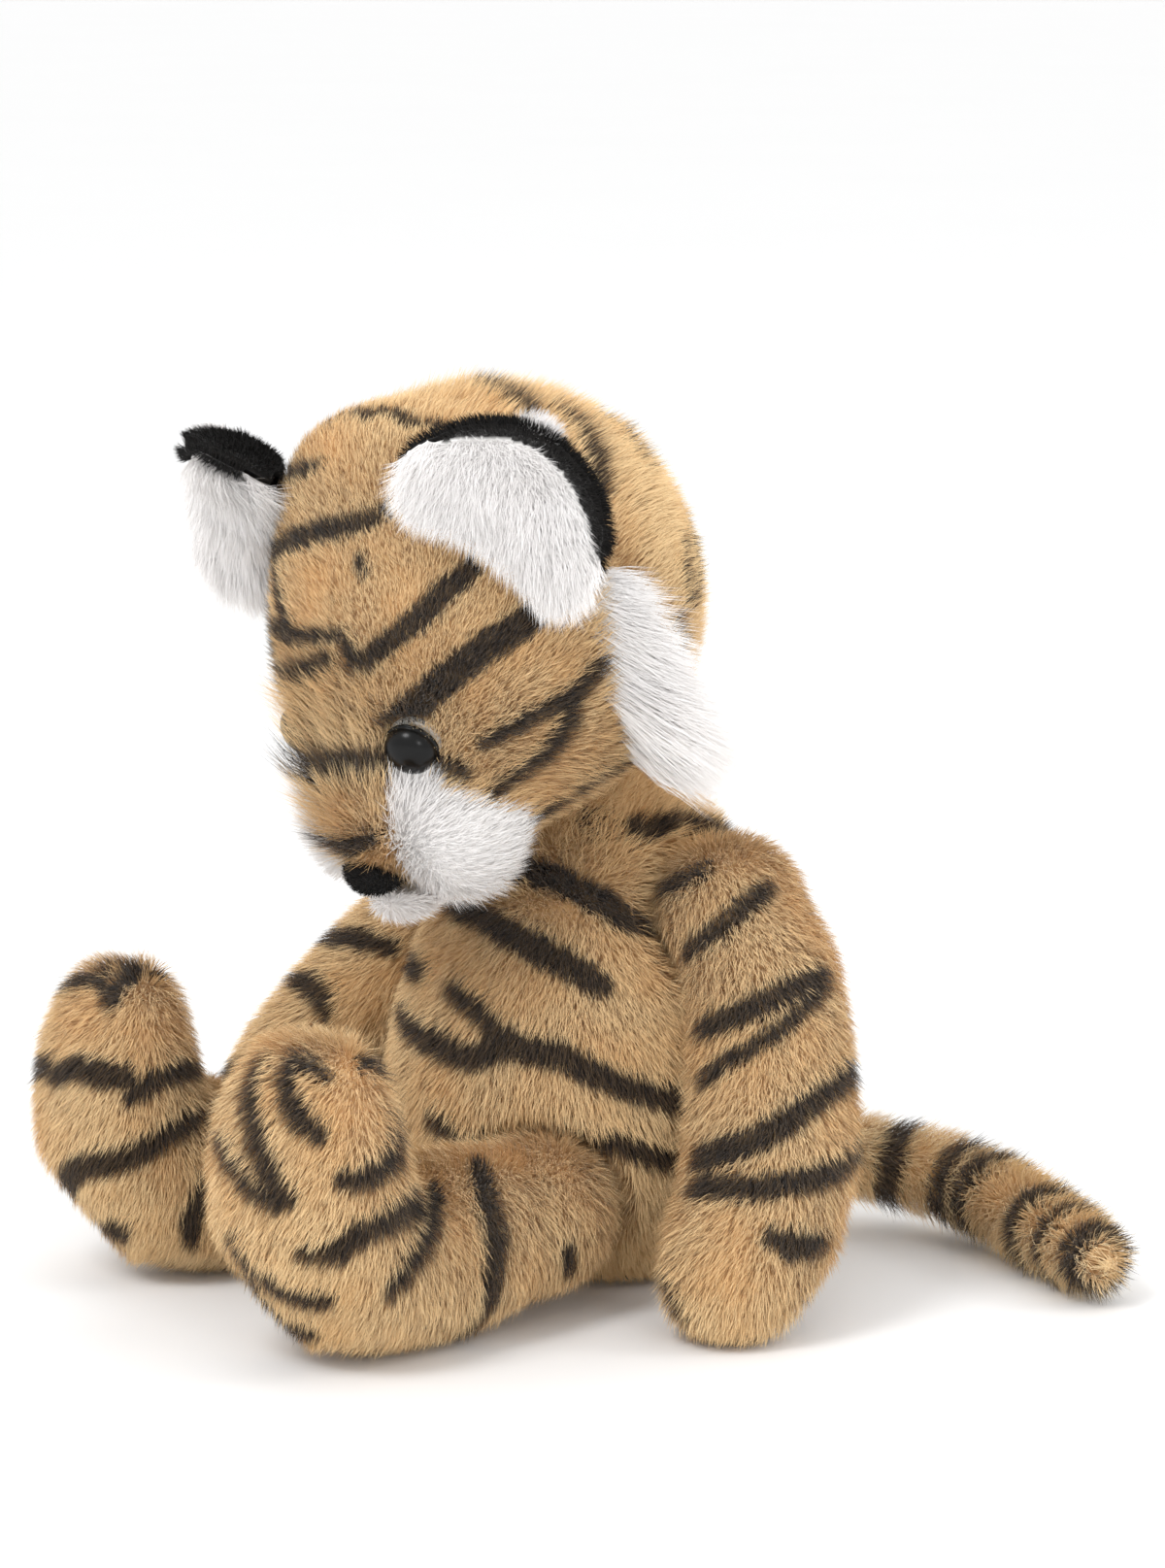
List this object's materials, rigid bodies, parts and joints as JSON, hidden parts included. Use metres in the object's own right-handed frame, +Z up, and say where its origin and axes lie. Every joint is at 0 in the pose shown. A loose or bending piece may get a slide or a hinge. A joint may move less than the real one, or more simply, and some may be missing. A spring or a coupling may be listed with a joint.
{
  "type": "plush tiger",
  "caption": "Seated stuffed tiger in striped fur with a bowed head, white muzzle and ruffs, upturned feet and a curled tail.",
  "frame": {"origin": "on the floor, in the middle of the flat seat under the body", "axes": "+Z up, -Y the way the tiger faces, +X the tiger's left"},
  "size_m": [0.2472, 0.2687, 0.2572],
  "materials": {
    "tan_fur": "medium pile with dark stripes",
    "white_fur": "long white pile",
    "black_plush": "short black pile",
    "filling": "loose fibre",
    "bag": "woven cloth around pellets",
    "eye": "gloss",
    "washer": "matte"
  },
  "bodies": {
    "torso": {"torso_skin": "tan_fur", "torso_filling": "filling", "seat_pellet_bag": "bag"},
    "neck": {"neck_filling": "filling"},
    "head": {"head_skin": "tan_fur", "head_filling": "filling", "muzzle_left": "white_fur", "muzzle_right": "white_fur", "chin": "white_fur", "nose": "black_plush", "eye_left": "eye", "eye_right": "eye", "eye_washer_left": "washer", "eye_washer_right": "washer", "cheek_ruff_left": "white_fur", "cheek_ruff_right": "white_fur"},
    "ear_left": {"ear_back_left": "black_plush", "ear_front_left": "white_fur", "ear_spot_left": "white_fur"},
    "ear_right": {"ear_back_right": "black_plush", "ear_front_right": "white_fur", "ear_spot_right": "white_fur"},
    "arm_left": {"arm_skin_left": "tan_fur", "arm_filling_left": "filling"},
    "arm_right": {"arm_skin_right": "tan_fur", "arm_filling_right": "filling"},
    "leg_left": {"leg_skin_left": "tan_fur", "leg_filling_left": "filling", "sole_left": "tan_fur"},
    "leg_right": {"leg_skin_right": "tan_fur", "leg_filling_right": "filling", "sole_right": "tan_fur"},
    "tail": {"tail_skin": "tan_fur", "tail_filling": "filling"}
  },
  "joints": [
    {"name": "neck_turn", "type": "hinge", "parent": "torso", "child": "neck", "pos_m": [0, -0.013, 0.124], "axis": [0, 0, 1], "range_deg": [-35, 35]},
    {"name": "neck_nod", "type": "hinge", "parent": "neck", "child": "head", "pos_m": [0, -0.013, 0.124], "axis": [-0.9781, -0.2079, 0], "range_deg": [0, 30]},
    {"name": "ear_left_bend", "type": "hinge", "parent": "head", "child": "ear_left", "pos_m": [0.05884, -0.08061, 0.22299], "axis": [0.4926, 0.6438, -0.5856], "range_deg": [-20, 20], "stiffness_Nm_per_rad": 0.01},
    {"name": "ear_right_bend", "type": "hinge", "parent": "head", "child": "ear_right", "pos_m": [-0.02626, -0.0987, 0.22299], "axis": [0.5538, -0.4971, 0.6679], "range_deg": [-20, 20], "stiffness_Nm_per_rad": 0.01},
    {"name": "arm_left_lift", "type": "hinge", "parent": "torso", "child": "arm_left", "pos_m": [0.05, 0.003, 0.111], "axis": [0, -1, 0], "range_deg": [0, 60]},
    {"name": "arm_right_lift", "type": "hinge", "parent": "torso", "child": "arm_right", "pos_m": [-0.05, 0.003, 0.111], "axis": [0, 1, 0], "range_deg": [0, 60]},
    {"name": "leg_left_swing", "type": "hinge", "parent": "torso", "child": "leg_left", "pos_m": [0.0387, -0.0547, 0.028], "axis": [-0.9781, -0.2079, 0], "range_deg": [-45, 8]},
    {"name": "leg_right_swing", "type": "hinge", "parent": "torso", "child": "leg_right", "pos_m": [-0.0387, -0.0547, 0.028], "axis": [-0.9781, 0.2079, 0], "range_deg": [-45, 8]},
    {"name": "tail_swing", "type": "hinge", "parent": "torso", "child": "tail", "pos_m": [0.002, 0.054, 0.025], "axis": [0, 0, 1], "range_deg": [0, 65]}
  ]
}
